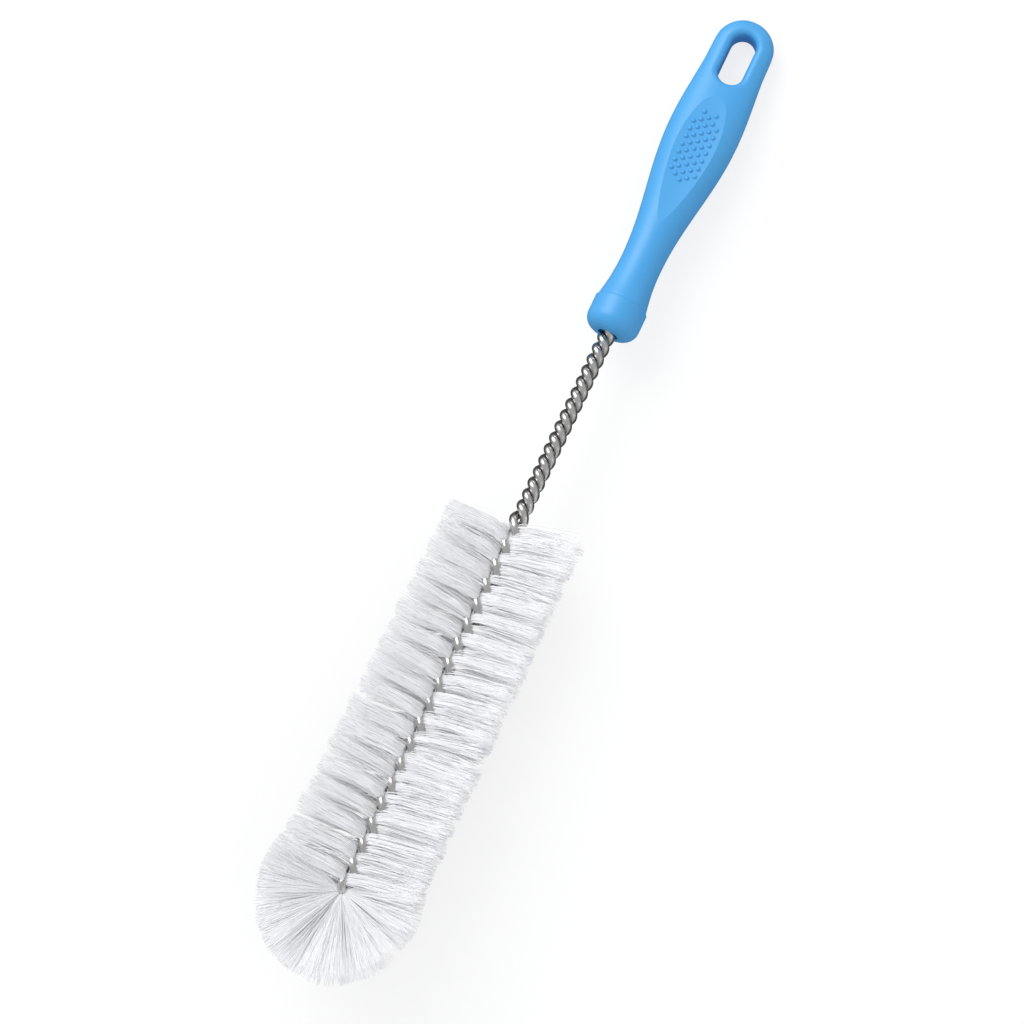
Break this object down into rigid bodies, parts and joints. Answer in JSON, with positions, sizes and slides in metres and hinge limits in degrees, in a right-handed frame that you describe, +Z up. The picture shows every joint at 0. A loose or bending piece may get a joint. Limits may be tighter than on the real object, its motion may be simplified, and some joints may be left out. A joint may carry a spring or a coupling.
{
  "type": "bottle brush",
  "caption": "Bottle brush with an oval plastic handle and hang slot, a twisted steel wire core and a round bristle head with a fanned tip.",
  "frame": {"origin": "on the floor under the middle of the brush as it lies at rest", "axes": "+X along the brush towards its tip, +Y across it, +Z up, out of the front of the handle"},
  "size_m": [0.3408, 0.052, 0.0612],
  "materials": {
    "handle_plastic": "satin blue moulded plastic",
    "wire_steel": "bright drawn stainless steel wire",
    "bristle_nylon": "white plastic filaments"
  },
  "bodies": {
    "root": {"handle": "handle_plastic", "core_wire": "wire_steel", "tuft_01": "bristle_nylon", "tuft_02": "bristle_nylon", "tuft_03": "bristle_nylon", "tuft_04": "bristle_nylon", "tuft_05": "bristle_nylon", "tuft_06": "bristle_nylon", "tuft_07": "bristle_nylon", "tuft_08": "bristle_nylon", "tuft_09": "bristle_nylon", "tuft_10": "bristle_nylon", "tuft_11": "bristle_nylon", "tuft_12": "bristle_nylon", "tuft_13": "bristle_nylon", "tuft_14": "bristle_nylon", "tuft_15": "bristle_nylon", "tuft_16": "bristle_nylon", "tuft_17": "bristle_nylon", "tuft_18": "bristle_nylon", "end_tuft": "bristle_nylon"}
  },
  "joints": []
}
